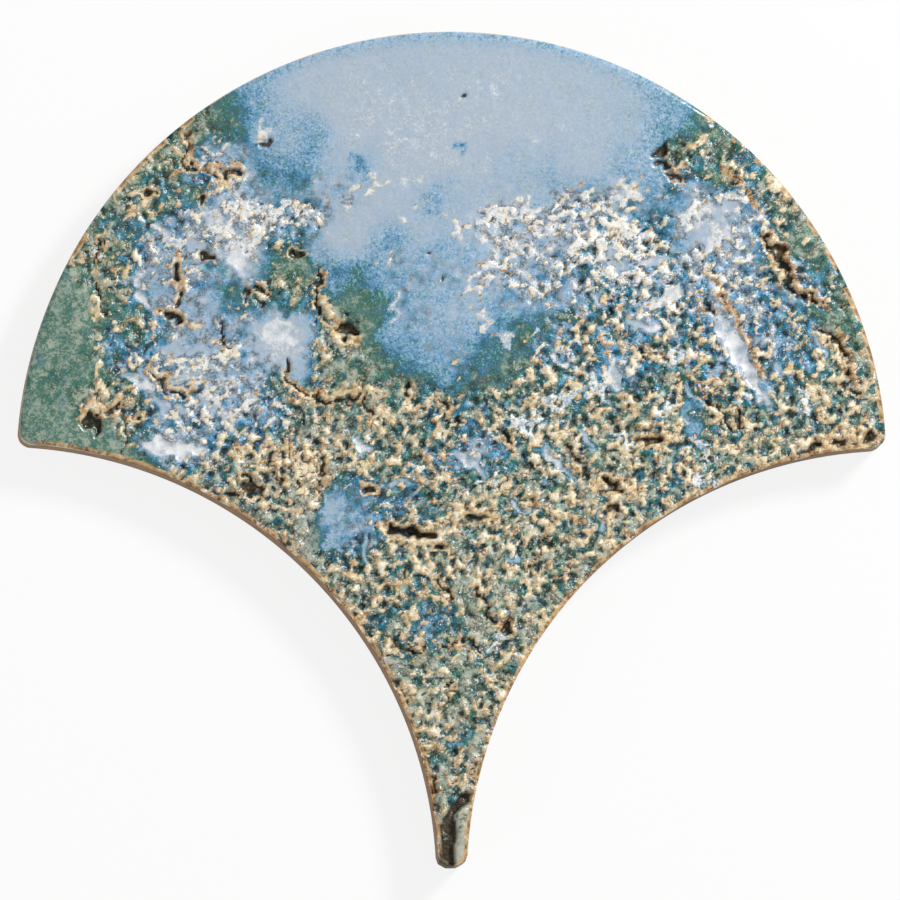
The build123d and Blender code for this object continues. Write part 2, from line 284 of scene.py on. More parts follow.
# Raised torn edges: width in pixels, height in millimetres, tone from brown to cream, then their course
LEDGES = [
    (9, .30, .40, [(321, 272), (318, 290), (322, 306), (330, 320)]),
    (6, .15, .42, [(90, 296), (95, 312), (94, 322)]),
    (7, .18, .42, [(96, 366), (97, 384), (101, 400), (94, 412)]),
    (7, .20, .42, [(82, 418), (92, 408), (108, 408), (120, 402)]),
    (7, .22, .42, [(388, 540), (404, 546), (424, 545), (436, 540)]),
    (6, .20, .40, [(390, 526), (412, 524), (432, 528)]),
    (7, .22, .24, [(768, 232), (781, 250), (794, 266), (794, 284), (808, 292), (824, 300)]),
    (7, .20, .24, [(722, 166), (736, 180), (748, 192), (758, 206)]),
    (7, .25, .22, [(708, 270), (718, 288), (728, 306), (740, 326), (752, 350), (760, 372)]),
    (6, .20, .24, [(838, 330), (848, 346), (851, 372), (862, 388)]),
    (7, .20, .38, [(184, 136), (189, 150), (186, 164), (204, 168), (220, 172), (234, 180)]),
    (8, .25, .42, [(284, 372), (292, 388), (312, 396), (340, 396), (360, 388), (372, 392)]),
    (6, .18, .44, [(146, 366), (158, 376), (168, 388), (182, 392), (196, 386)]),
    (6, .18, .40, [(176, 256), (181, 272), (180, 290), (172, 306)]),
    (6, .18, .40, [(160, 312), (174, 314), (186, 326), (196, 330)]),
    (7, .20, .44, [(230, 446), (246, 452), (262, 462)]),
    (8, .22, .40, [(520, 500), (540, 506), (560, 516), (580, 520)]),
    (7, .22, .40, [(452, 506), (470, 508), (490, 514)]),
    (7, .20, .36, [(600, 478), (612, 476), (626, 482), (634, 494)]),
    (8, .22, .38, [(808, 438), (830, 434), (852, 431), (872, 430)]),
    (6, .18, .40, [(636, 424), (650, 428), (664, 426)]),
    (7, .22, .42, [(332, 340), (344, 344), (358, 338)]),
    (12, .35, .34, [(286, 446), (292, 456), (288, 464)]),
    (13, .38, .36, [(304, 452), (314, 460), (312, 474)]),
    (11, .35, .34, [(272, 462), (276, 474), (284, 484)]),
    (11, .32, .36, [(322, 470), (324, 484)]),
    (10, .30, .38, [(296, 478), (302, 490)]),
    (10, .28, .40, [(262, 444), (272, 450)]),
]

# The flake lost from the tip of the tail, in pixels
FLAKE = [
    (472, 794), (460, 793), (441, 818), (438, 830), (439, 841), (436, 880), (453, 880), (453, 847),
    (455, 832), (453, 815), (459, 809), (470, 801),
]

# Colours, from 0 to 255, along the thickness of the blue and of the green glaze
BLUE = [
    (0.0, (190, 190, 174)), (0.2, (182, 187, 176)), (0.32, (156, 170, 164)), (0.42, (98, 134, 132)),
    (0.5, (60, 111, 134)), (0.56, (77, 129, 160)), (0.64, (110, 158, 191)), (0.75, (152, 181, 205)),
    (0.88, (179, 192, 206)), (0.92, (216, 221, 227)), (0.97, (236, 238, 241)),
]
GREEN = [
    (0.0, (192, 192, 174)), (0.22, (184, 189, 173)), (0.32, (166, 178, 162)), (0.38, (132, 155, 139)),
    (0.44, (84, 120, 103)), (0.5, (54, 104, 94)), (0.56, (70, 124, 124)), (0.64, (108, 157, 168)),
    (0.76, (152, 177, 186)), (0.88, (183, 196, 202)), (0.92, (216, 222, 222)), (0.97, (234, 237, 236)),
]

# Colours of the crumbs from brown to white, of the pits' floors, of the clay and of the torn clay
TAN = [
    (0.0, (108, 76, 48)), (0.1, (166, 122, 80)), (0.24, (204, 172, 126)), (0.4, (226, 206, 166)),
    (0.55, (234, 224, 200)), (0.75, (238, 233, 220)), (0.95, (238, 239, 238)),
]
PIT_FLOOR = [(0.15, (26, 26, 20)), (0.5, (66, 54, 36)), (0.85, (128, 102, 66))]
CLAY = [(0.2, (112, 86, 64)), (0.5, (150, 120, 90)), (0.8, (186, 156, 120))]
TORN_CLAY = [(0.2, (40, 36, 28)), (0.5, (70, 62, 48)), (0.8, (112, 96, 74))]

# Gain that brings a noise node's values from about 0.36 to 0.64 to within 1 of 0
NOISE_GAIN = 7

# Single colours. The hollows' colours are partly the glaze's own colour and partly painted shade. The
# crumbs' foot, the crevice and the shade colours are painted shade, and the glint is a painted highlight
BLUE_HOLLOW = (38, 86, 122)
GREEN_HOLLOW = (34, 78, 62)
CRUMB_FOOT_SHADE = (44, 54, 40)
FRECKLE = (184, 128, 78)
PAINTED_GLINT = (228, 232, 238)
CREVICE_SHADE = (30, 52, 46)
SHADE = (20, 30, 28)
THIN_EDGE = (212, 174, 122)


def to_mm(place):
    """A pixel of the photograph as a place on the face."""
    return ((place[0] - CENTRE_PIXEL[0]) * MM_PER_PIXEL, (CENTRE_PIXEL[1] - place[1]) * MM_PER_PIXEL)


def smooth(low, high, value):
    """0 below the low limit, 1 above the high one, and a smooth rise between them."""
    share = np.clip((value - low) / (high - low), 0, 1)
    return share * share * (3 - 2 * share)


def blend(first, second, share):
    return first + (second - first) * share


def filtered(seed, gain):
    """Seeded noise with the given gain for each wave, and a deviation of 1."""
    white = np.random.default_rng(seed).standard_normal((ROWS, COLUMNS))
    noise = np.fft.irfft2(np.fft.rfft2(white) * gain, s=(ROWS, COLUMNS))
    return noise / noise.std()


def ripples(seed, wavelength, spread=0.3):
    """Noise whose lumps are all about one size."""
    return filtered(seed, np.exp(-0.5 * (np.log(np.maximum(WAVES, 1e-9) * wavelength) / spread) ** 2))


def grain(seed, size, softness=0.2):
    """Noise of many sizes, with a typical half-width and the finest part smoothed away."""
    fall = (1 + (2 * math.pi * WAVES * size) ** 2) ** -0.75
    return filtered(seed, fall * np.exp(-2 * (math.pi * softness * WAVES) ** 2) * (WAVES > 0))


def blurred(field, reach):
    gain = np.exp(-2 * (math.pi * reach * WAVES) ** 2)
    return np.fft.irfft2(np.fft.rfft2(field) * gain, s=(ROWS, COLUMNS))


def read_field(field, x, y):
    """The field's value at places in millimetres, between its grid points."""
    column = np.clip((x - LOW[0]) / STEP, 0, COLUMNS - 1.001)
    row = np.clip((y - LOW[1]) / STEP, 0, ROWS - 1.001)
    left = column.astype(int)
    below = row.astype(int)
    across = column - left
    up = row - below
    lower = blend(field[below, left], field[below, left + 1], across)
    upper = blend(field[below + 1, left], field[below + 1, left + 1], across)
    return blend(lower, upper, up)


def rounded(first, second, radius):
    """Distance to the nearer of two edges whose corner is rounded."""
    corner = radius - np.hypot(np.maximum(radius - first, 0), np.maximum(radius - second, 0))
    return np.where((first < radius) & (second < radius), corner, np.minimum(first, second))


def edge_distance(x, y):
    """Distance inwards from the tile's outline: three arcs of one radius and the tail's end."""
    top = SCALE_RADIUS - np.hypot(x, y)
    left = np.hypot(x + HOLLOW_ACROSS, y + ROW_DROP) - SCALE_RADIUS
    right = np.hypot(x - HOLLOW_ACROSS, y + ROW_DROP) - SCALE_RADIUS
    end = y + TAIL_REACH
    shoulders = np.minimum(rounded(top, left, CORNER_ROUND), rounded(top, right, CORNER_ROUND))
    tail = np.minimum(rounded(left, end, TAIL_ROUND), rounded(right, end, TAIL_ROUND))
    return np.minimum(shoulders, tail)


def outward(x, y):
    """Unit direction from a place towards the nearest edge."""
    reach = 0.01
    slope_x = (edge_distance(x - reach, y) - edge_distance(x + reach, y)) / (2 * reach)
    slope_y = (edge_distance(x, y - reach) - edge_distance(x, y + reach)) / (2 * reach)
    size = np.maximum(np.hypot(slope_x, slope_y), 1e-6)
    return slope_x / size, slope_y / size


def patch_mask(rim, wander):
    """1 inside a rim given in pixels, with the rim's course disturbed."""
    x = X + wander[0]
    y = Y + wander[1]
    mask = np.zeros(X.shape, bool)
    corners = [to_mm(place) for place in rim]
    for (x0, y0), (x1, y1) in zip(corners, corners[1:] + corners[:1]):
        if y0 != y1:
            crossed = (y < y0) != (y < y1)
            mask ^= crossed & (x < x0 + (y - y0) * (x1 - x0) / (y1 - y0))
    return mask.astype(float)


def boat(place, turn, length, width, wander):
    """1 at the middle of a boat-shaped place, 0 at its rim and less outside."""
    x, y = to_mm(place)
    cosine = math.cos(math.radians(turn))
    sine = math.sin(math.radians(turn))
    x_off = X + wander[0] - x
    y_off = Y + wander[1] - y
    along = (x_off * cosine + y_off * sine) / (length * MM_PER_PIXEL / 2)
    across = (y_off * cosine - x_off * sine) / (width * MM_PER_PIXEL / 2)
    return 1 - np.hypot(along, across)


def line_distance(places, wander):
    """Distance to a line through places given in pixels."""
    nearest = np.full(X.shape, 99.0)
    corners = [to_mm(place) for place in places]
    for (x0, y0), (x1, y1) in zip(corners, corners[1:]):
        run = (x1 - x0, y1 - y0)
        x_off = X + wander[0] - x0
        y_off = Y + wander[1] - y0
        share = np.clip((x_off * run[0] + y_off * run[1]) / (run[0] ** 2 + run[1] ** 2), 0, 1)
        nearest = np.minimum(nearest, np.hypot(x_off - share * run[0], y_off - share * run[1]))
    return nearest


def zone_maps():
    """Thickness, crumpling and greenness of the glaze over the whole face."""
    x = X + 1.5 * ripples(11, 12) + 0.8 * ripples(12, 5)
    y = Y + 1.5 * ripples(13, 12) + 0.8 * ripples(14, 5)
    sums = [np.zeros(X.shape) for _ in range(3)]
    total = np.full(X.shape, 1e-6)
    for x_pixel, y_pixel, reach, *values in ZONES:
        x_mid, y_mid = to_mm((x_pixel, y_pixel))
        spread = 0.62 * reach * MM_PER_PIXEL
        weight = np.exp(-((x - x_mid) ** 2 + (y - y_mid) ** 2) / (2 * spread ** 2))
        total += weight
        for field, value in zip(sums, values):
            field += weight * value
    return [blurred(field / total, 1.1) for field in sums]


def cells(seed, size, wander):
    """Rounded lumps: their height, the gap between them and a chance value for each."""
    table = np.random.default_rng(seed).random((256, 256, 3))
    x = (X + wander[0]) / size
    y = (Y + wander[1]) / size
    column = np.floor(x).astype(int)
    row = np.floor(y).astype(int)
    nearest = np.full(X.shape, 9.0)
    second = np.full(X.shape, 9.0)
    chance = np.zeros(X.shape)
    for across in (-1, 0, 1):
        for up in (-1, 0, 1):
            point = table[(row + up) % 256, (column + across) % 256]
            gap = np.hypot(column + across + point[..., 0] - x, row + up + point[..., 1] - y)
            closer = gap < nearest
            second = np.where(closer, nearest, np.minimum(second, gap))
            chance = np.where(closer, point[..., 2], chance)
            nearest = np.minimum(nearest, gap)
    return 1 - nearest ** 2, second - nearest, chance


def crumb_maps():
    """The crumpled glaze about its mean level, its grains, and chance values for lumps of two sizes."""
    ruffle = (0.35 * ripples(25, 1.7), 0.35 * ripples(26, 1.7))
    dome, gap, chance = cells(31, 1.9, ruffle)
    small_dome, _, small_chance = cells(32, 0.95, ruffle)
    lump = 0.75 * ripples(33, 2.9, 0.35) + 0.45 * grain(34, 0.9)
    grains = 0.9 * dome + 0.35 * smooth(0, 0.4, gap) + 0.5 * chance + 0.35 * small_dome
    grains = (grains - grains.mean()) / grains.std()
    ridge = 0.55 - np.abs(ripples(45, 3.6, 0.4))
    crumbs = 0.42 * grains + 0.5 * lump + 0.75 * ridge
    return crumbs, grains, chance, small_chance


def pool_maps(wander, frayed):
    """1 inside a pool and 0 outside, the glaze of the pool and how deep it lies."""
    pool, glaze, sink = (np.zeros(X.shape) for _ in range(3))
    for x_pixel, y_pixel, turn, length, width, thick, depth in POOLS:
        fray = min(1, 16 / width) * min(1, 50 / length)
        shape = boat((x_pixel, y_pixel), turn, length, width, wander) + frayed * fray
        share = smooth(-0.35, 0.45, shape)
        glaze = np.where(share > pool, thick, glaze)
        pool = np.maximum(pool, share)
        sink = np.maximum(sink, depth * smooth(-0.1, 0.8, shape))
    return pool, glaze, sink


def island_map(wander, frayed):
    """1 at the middle of an island, 0 at its rim and less outside."""
    island = np.full(X.shape, -9.0)
    for x_pixel, y_pixel, turn, length, width in ISLANDS:
        island = np.maximum(island, boat((x_pixel, y_pixel), turn, length, width, wander))
    return island + 1.4 * frayed


def hole_maps(wander, frayed, uneven):
    """Depth of the pits and cracks, the painted shade in them, how far their floor shows, and their lips.
    """
    pit, dark, hole, lip = (np.zeros(X.shape) for _ in range(4))
    for x_pixel, y_pixel, turn, length, width, depth in PITS:
        shape = boat((x_pixel, y_pixel), turn, length, width, wander) + 0.8 * frayed
        pit = np.maximum(pit, depth * smooth(-0.05, 0.45, shape))
        # Painted shade in the pits, darker where they are deeper; the cracks below get the same
        dark = np.maximum(dark, smooth(0.05, 0.35, shape) * min(1, depth / 1.1))
        hole = np.maximum(hole, smooth(0.25, 0.6, shape) * min(1, depth / 0.9))
        lip = np.maximum(lip, smooth(-0.7, -0.2, shape) * (1 - smooth(-0.1, 0.15, shape)))
    for width, depth, places in CRACKS:
        reach = width * MM_PER_PIXEL / 2
        near = line_distance(places, wander) * uneven
        if width > OPEN_CRACK:
            hole = np.maximum(hole, 1 - smooth(1.3 * reach, 2.4 * reach, near))
        pit = np.maximum(pit, depth * (1 - smooth(0.3 * reach, 1.4 * reach, near)))
        dark = np.maximum(dark, 1 - smooth(0.5 * reach, 1.1 * reach, near))
        beside = smooth(1.0 * reach, 1.4 * reach, near) * (1 - smooth(1.6 * reach, 2.8 * reach, near))
        lip = np.maximum(lip, beside)
    return pit, dark, hole, lip


def ledge_maps(wander, uneven):
    """1 on a torn ledge and 0 beside it, with its height and its tone."""
    ledge, rise, tone = (np.zeros(X.shape) for _ in range(3))
    for width, top, value, places in LEDGES:
        reach = width * MM_PER_PIXEL / 2
        share = 1 - smooth(0.25 * reach, 1.1 * reach, line_distance(places, wander) * uneven)
        tone = np.where(share > ledge, value, tone)
        rise = np.maximum(rise, top * share)
        ledge = np.maximum(ledge, share)
    return ledge, rise, tone


def relief():
    """Every map of the glazed face: its height and what colours it."""
    glaze, crumple, green = zone_maps()
    crumbs, grains, chance, small_chance = crumb_maps()
    wander = (0.8 * ripples(21, 4), 0.8 * ripples(22, 4))
    slight = (0.4 * wander[0], 0.4 * wander[1])
    frayed = 0.22 * ripples(24, 2.2)
    uneven = np.clip(1 + 0.75 * ripples(28, 1.9, 0.5), 0.5, 3.0)
    fine = grain(35, 0.25, 0.1)
    inset = edge_distance(X, Y)

    # Where the face is smooth, pooled, crumpled, creased or broken
    patch = np.maximum(patch_mask(LEFT_PATCH, slight), patch_mask(GREEN_PATCH, slight))
    patch = np.maximum(patch, patch_mask(TOP_PATCH, wander))
    level = blurred(patch, 1.3)
    crumple = np.clip(crumple + 0.1 * grain(27, 2.0), 0, 1) * (1 - 0.35 * smooth(0.3, 1.0, level))
    pool, pool_glaze, sink = pool_maps(slight, frayed)
    island = island_map(wander, frayed)
    rough = crumple * (1 - 0.95 * pool) * (1 - 0.6 * smooth(0.0, 0.4, island))
    crease = 1 - smooth(0.05, 0.28, np.abs(ripples(41, 2.6, 0.4)))
    crease *= smooth(0.2, 0.9, ripples(42, 3.0, 0.4))
    crease *= smooth(0.3, 0.8, rough)
    pit, dark, hole, lip = hole_maps(slight, frayed, uneven)
    lip *= np.clip(0.1 + 1.3 * blurred(crumple, 1.2), 0, 1)
    ledge, rise, ledge_tone = ledge_maps(slight, uneven)
    flake = blurred(patch_mask(FLAKE, (0.3 * slight[0], 0.3 * slight[1])), 0.2)

    # Height above the torn field
    height = PATCH_HEIGHT * level + CRUMB_HEIGHT * rough * crumbs - POOL_SINK * sink * (1 - 0.5 * level)
    height += 0.02 * patch * grain(36, 1.2) - CREASE_DEPTH * crease - pit + LIP_HEIGHT * lip
    height += rise * np.clip(0.8 + 0.35 * grains, 0.3, 1.3)
    height += ISLAND_HEIGHT * smooth(-0.05, 0.4, island)
    height = blend(height, -FLAKE_DEPTH + 0.15 * grain(61, 0.8), smooth(0.2, 0.8, flake))
    height = np.minimum(height, HIGHEST)

    # Where the crumbs break tan, above 0, and their tone from brown to white
    white = smooth(0.62, 0.8, glaze) * smooth(0.25, 0.6, rough)
    start = 1.4 - 1.5 * rough + 0.3 * rough * ripples(43, 5.5, 0.4) - 0.35 * white
    over = 0.85 * crumbs + 0.2 * fine - start - 0.55 * smooth(0.72, 0.76, chance)
    tone = 0.1 + 0.38 * smooth(-0.2, 1.0, over) + 0.2 * (chance - 0.5) + 0.2 * (small_chance - 0.5)
    tone += 0.45 * smooth(0.55, 0.8, glaze) * smooth(-0.05, 0.4, over) + 0.06 * fine
    over -= 2.5 * (1 - smooth(0.04, 0.25, rough))
    over = np.maximum(over, 1.7 * np.maximum(ledge, lip) - 0.6)

    # Tan along the rims of the two hollow flanks
    flank = 0.8 * (1 - smooth(0.2, 1.1, inset + 0.4 * frayed))
    flank *= smooth(1.5, 4.0, SCALE_RADIUS - np.hypot(X, Y))
    over = np.maximum(over, 1.5 * flank - 0.6)
    tone = blend(tone, 0.2 + 0.12 * fine, flank)

    # Islands: cream inside a broken brown rim
    inside = smooth(-0.08, 0.12, island)
    border = smooth(-0.2, -0.06, island) * (1 - smooth(0.02, 0.14, island))
    border *= smooth(-0.4, 0.5, ripples(47, 1.6, 0.5))
    tone = blend(tone, 0.82 + 0.06 * fine, inside * (1 - border))
    tone = blend(tone, 0.13 + 0.05 * fine, smooth(0.1, 0.5, border))
    over = blend(over, 0.03 + 0.12 * fine, inside)
    over = np.maximum(over, 1.5 * border - 0.45)
    tone = blend(tone, ledge_tone + 0.1 * fine + 0.2 * (small_chance - 0.5), 0.8 * ledge)
    tone = blend(tone, 0.4 + 0.1 * fine, 0.7 * lip * (1 - ledge))

    # Thickness of the glaze, which is less along the rim; the hollows between crumbs are darker, partly
    # the glaze's own colour and partly painted shade
    mottled = (0.12 + 0.88 * rough) + 0.4 * (1 - smooth(0.6, 0.75, glaze)) * (1 - rough)
    thick = glaze + 0.15 * rough * ripples(37, 4.5, 0.5) + 0.045 * grain(38, 0.35) * mottled
    thick += 0.05 * smooth(0.5, 0.7, glaze) * smooth(0.1, 0.4, rough) * (1 - smooth(0.85, 0.95, glaze))
    rim = (1 - smooth(0.6, 3.4, inset)) * smooth(0.7, 0.8, glaze)
    thick -= rim * (0.04 + 0.07 * np.abs(ripples(44, 1.1, 0.4)))
    thick = blend(thick, 0.93, 0.85 * smooth(-0.15, 0.15, island))
    thick = blend(thick, pool_glaze + 0.03 * grain(52, 1.0), pool)
    deep = smooth(0.35, 1.5, -crumbs) * smooth(0.15, 0.7, rough) * (1 - 0.6 * white)

    # Painted shade in what lies lower than the places beside it, in the creases, and in the pits and
    # cracks
    cavity = blurred(height, 0.4) - height
    shade = np.clip(smooth(0.02, 0.17, cavity) * 0.9 + 0.9 * crease + dark, 0, 1)
    return {
        "height": height,
        "thick": thick,
        "green": np.clip(green + 0.22 * ripples(39, 5.0, 0.5), 0, 1),
        "shade": shade,
        "crumb": blend(np.clip(over, -2, 2), -2, flake),
        "tone": tone,
        "rough": rough,
        "flake": smooth(0.3, 0.7, flake),
        "hole": hole,
        "deep": deep * (1 - pool) * (1 - inside),
    }


def face_grid():
    """A fine grid cut to the outline, with its rim snapped to the inner line of the arris."""
    half = (SCALE_RADIUS + MESH_MARGIN, (SCALE_RADIUS + TAIL_REACH) / 2 + MESH_MARGIN)
    middle = (SCALE_RADIUS - TAIL_REACH) / 2
    bm = bmesh.new()
    bmesh.ops.create_grid(
        bm,
        x_segments=round(2 * half[0] / MESH_STEP),
        y_segments=round(2 * half[1] / MESH_STEP),
        size=1,
    )
    bmesh.ops.scale(bm, vec=(half[0], half[1], 1), verts=bm.verts)
    bmesh.ops.translate(bm, vec=(0, middle, 0), verts=bm.verts)
    places = np.array([v.co for v in bm.verts])
    spare = edge_distance(places[:, 0], places[:, 1]) < FACE_ARRIS + 0.05 * MESH_STEP
    outside = [v for v, gone in zip(bm.verts, spare) if gone]
    bmesh.ops.delete(bm, geom=outside, context="VERTS")
    lone = [v for v in bm.verts if len(v.link_faces) < 2]
    bmesh.ops.delete(bm, geom=lone, context="VERTS")

    rim = [v for v in bm.verts if v.is_boundary]
    places = np.array([v.co for v in rim])
    for _ in range(3):
        gap = edge_distance(places[:, 0], places[:, 1]) - FACE_ARRIS
        to_x, to_y = outward(places[:, 0], places[:, 1])
        places[:, 0] += gap * to_x
        places[:, 1] += gap * to_y
    for v, place in zip(rim, places):
        v.co = place
    return bm


def skirt(bm):
    """Rounds the arris and closes the walls and the back below the face's rim."""
    mark = bm.verts.layers.int.new("rim")
    rim = [v for v in bm.verts if v.is_boundary]
    places = np.array([v.co for v in rim])
    to_x, to_y = outward(places[:, 0], places[:, 1])
    for number, v in enumerate(rim):
        v[mark] = number + 1
    rows = []
    for angle in ARRIS_ANGLES:
        turned = math.radians(angle)
        rows.append((FACE_ARRIS * math.sin(turned), THICKNESS - FACE_ARRIS * (1 - math.cos(turned))))
    for level in WALL_LEVELS:
        rows.append((FACE_ARRIS, level))
    rows.append((FACE_ARRIS - 0.3 * BACK_ARRIS, 0.3 * BACK_ARRIS))
    rows.append((FACE_ARRIS - BACK_ARRIS, 0.0))
    edges = [e for e in bm.edges if e.is_boundary]
    for push, level in rows:
        grown = bmesh.ops.extrude_edge_only(bm, edges=edges)["geom"]
        for v in grown:
            if isinstance(v, bmesh.types.BMVert):
                number = v[mark] - 1
                x, y = places[number, 0], places[number, 1]
                v.co = Vector((x + push * to_x[number], y + push * to_y[number], level))
        edges = [e for e in grown if isinstance(e, bmesh.types.BMEdge)]
    bmesh.ops.contextual_create(bm, geom=edges)


def build_tile():
    """The tile's mesh, with the relief on its face and the maps stored for its material."""
    maps = relief()
    bm = face_grid()
    for v in bm.verts:
        v.co.z = THICKNESS
    skirt(bm)
    bmesh.ops.recalc_face_normals(bm, faces=bm.faces)
    bm.verts.ensure_lookup_table()

    places = np.array([v.co for v in bm.verts])
    inset = edge_distance(places[:, 0], places[:, 1])
    top = places[:, 2] > THICKNESS - FACE_ARRIS - 0.01
    height = read_field(maps["height"], places[:, 0], places[:, 1]) - FIELD_DROP
    share = np.where(top, smooth(THICKNESS - FACE_ARRIS, THICKNESS - 0.1, places[:, 2]), 0)
    places[:, 2] += height * share
    for v, place in zip(bm.verts, places):
        v.co = Vector(place) * MM

    mesh = bpy.data.meshes.new("tile_glazed")
    bm.to_mesh(mesh)
    bm.free()
    mesh.polygons.foreach_set("use_smooth", [True] * len(mesh.polygons))
    drip = DRIP_SWAY * read_field(ripples(71, DRIP_WAVE), places[:, 0], places[:, 1])
    values = {"wall": 1 - smooth(0.4, 0.85, inset), "drip": np.clip(drip, *DRIP_LIMITS)}
    for name in ("thick", "green", "shade", "crumb", "tone", "rough", "flake", "hole", "deep"):
        values[name] = read_field(maps[name], places[:, 0], places[:, 1])
    for name, value in values.items():
        layer = mesh.attributes.new(name, "FLOAT", "POINT")
        layer.data.foreach_set("value", value)
    piece = bpy.data.objects.new("tile_glazed", mesh)
    bpy.context.scene.collection.objects.link(piece)
    print("tile triangles", sum(len(p.vertices) - 2 for p in mesh.polygons))
    return piece


class Value:
    """An output of a node, with arithmetic that adds Math nodes."""

    def __init__(self, finish, socket):
        self.finish = finish
        self.socket = socket

    def math(self, operation, *terms):
        return self.finish.node("ShaderNodeMath", {"operation": operation}, dict(enumerate(terms)))

    def __add__(self, other):
        return self.math("ADD", self, other)

    __radd__ = __add__

    def __sub__(self, other):
        return self.math("SUBTRACT", self, other)

    def __rsub__(self, other):
        return self.math("SUBTRACT", other, self)

    def __mul__(self, other):
        return self.math("MULTIPLY", self, other)

    __rmul__ = __mul__

    def ramp(self, low, high):
        """0 below the low limit and 1 above the high one."""
        limits = {"Value": self, "From Min": low, "From Max": high}
        return self.finish.node("ShaderNodeMapRange", {"interpolation_type": "SMOOTHSTEP"}, limits)


class Finish:
    """A material whose nodes are added one call at a time."""

    def __init__(self, name):
        self.material = bpy.data.materials.new(name)
        self.material.use_nodes = True
        self.tree = self.material.node_tree
        self.shader = self.tree.nodes["Principled BSDF"]
        self.places = self.node("ShaderNodeTexCoord", output="Object")

    def node(self, kind, settings=None, inputs=None, output=0):
        item = self.tree.nodes.new(kind)
        for name, setting in (settings or {}).items():
            if name == "stops":
                set_stops(item.color_ramp, setting)
            else:
                setattr(item, name, setting)
        for name, value in (inputs or {}).items():
            self.feed(item.inputs[name], value)
        return Value(self, item.outputs[output])

    def feed(self, socket, value):
        if isinstance(value, Value):
            self.tree.links.new(value.socket, socket)
        else:
            socket.default_value = value

    def noise(self, size_mm, detail=2.0, roughness=0.5, stretch=None):
        """Noise about 0, mostly within 1 of it, whose lumps have about the given size in millimetres."""
        places = self.places
        if stretch:
            places = self.node("ShaderNodeMapping", None, {"Vector": places, "Scale": stretch})
        sockets = {"Vector": places, "Scale": 1 / (size_mm * MM), "Detail": detail, "Roughness": roughness}
        return (self.node("ShaderNodeTexNoise", None, sockets) - 0.5) * NOISE_GAIN

    def attribute(self, name):
        return self.node("ShaderNodeAttribute", {"attribute_name": name}, output="Fac")

    def colours(self, value, stops):
        return self.node("ShaderNodeValToRGB", {"stops": stops}, {"Fac": value})

    def mixed(self, share, first, second):
        sockets = {0: share, 6: first, 7: second}
        return self.node("ShaderNodeMix", {"data_type": "RGBA"}, sockets, 2)

    def set(self, **sockets):
        for name, value in sockets.items():
            self.feed(self.shader.inputs[name.replace("_", " ")], value)


def set_stops(ramp, stops):
    while len(ramp.elements) > 1:
        ramp.elements.remove(ramp.elements[-1])
    for number, (place, colour) in enumerate(stops):
        stop = ramp.elements[0] if number == 0 else ramp.elements.new(place)
        stop.position = place
        stop.color = rgb(colour)


def rgb(colour):
    """A screen colour from 0 to 255 as the linear colour that the shader takes."""
    linear = [c / 255 / 12.92 if c < 11 else ((c / 255 + 0.055) / 1.055) ** 2.4 for c in colour]
    return (*linear, 1)


